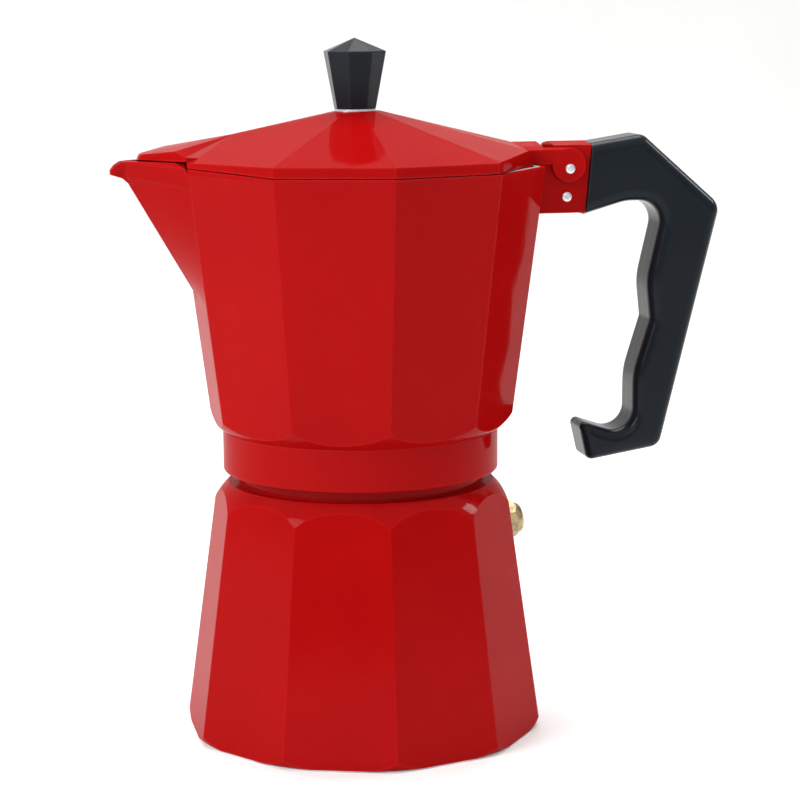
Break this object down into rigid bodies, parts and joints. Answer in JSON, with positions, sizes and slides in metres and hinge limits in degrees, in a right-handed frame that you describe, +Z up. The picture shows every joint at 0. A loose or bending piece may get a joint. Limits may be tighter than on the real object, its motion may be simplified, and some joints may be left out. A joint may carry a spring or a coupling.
{
  "type": "moka pot",
  "caption": "Ten-sided stove-top moka pot: threaded boiler with safety valve, coffee basket, upper chamber with spout, hinged lid and hooked side handle.",
  "frame": {"origin": "centre of the boiler's base, on the surface it stands on, in line with the pot's vertical axis", "axes": "+Z up along the pot's axis; +X towards the handle and hinge; -X towards the spout; the XZ plane is the plane of symmetry"},
  "size_m": [0.1785, 0.1084, 0.2023],
  "materials": {
    "red_lacquer": "gloss",
    "black_handle": "satin",
    "brass": "satin",
    "steel": "satin",
    "aluminium": "satin",
    "fibre": "matte",
    "seal_rubber": "matte"
  },
  "bodies": {
    "boiler": {"boiler": "red_lacquer", "valve_body": "brass", "valve_washer": "fibre", "valve_nut": "brass", "valve_cap": "brass", "valve_spring": "steel"},
    "valve_stem": {"valve_plunger": "steel"},
    "basket": {"basket_cup": "aluminium", "funnel_tube": "aluminium", "basket_strainer": "aluminium"},
    "seal": {"gasket": "seal_rubber", "filter_plate": "aluminium"},
    "collector": {"collector": "red_lacquer", "handle": "black_handle", "handle_pin": "steel", "hinge_pin": "steel"},
    "lid": {"lid": "red_lacquer", "knob": "black_handle", "knob_washer": "steel", "knob_insert": "brass", "knob_screw": "steel"}
  },
  "joints": [
    {"name": "valve_lift", "type": "slide", "parent": "boiler", "child": "valve_stem", "axis": [0.9913, 0, 0.1314], "range_m": [0, 0.001], "stiffness_N_per_m": 400, "springref_m": -0.003},
    {"name": "collector_lift", "type": "slide", "parent": "boiler", "child": "seal", "axis": [0, 0, 1], "range_m": [0, 0.1]},
    {"name": "basket_lift", "type": "slide", "parent": "boiler", "child": "basket", "axis": [0, 0, 1], "range_m": [0, 0.045]},
    {"name": "collector_turn", "type": "hinge", "parent": "seal", "child": "collector", "pos_m": [0, 0, 0], "axis": [0, 0, 1], "range_deg": [0, 540]},
    {"name": "lid_hinge", "type": "hinge", "parent": "collector", "child": "lid", "pos_m": [0.0608, 0, 0.1642], "axis": [0, 1, 0], "range_deg": [0, 88]}
  ],
  "couplings": [
    {"joint": "basket_lift", "follows": "collector_lift", "ratio": 0.45}
  ]
}
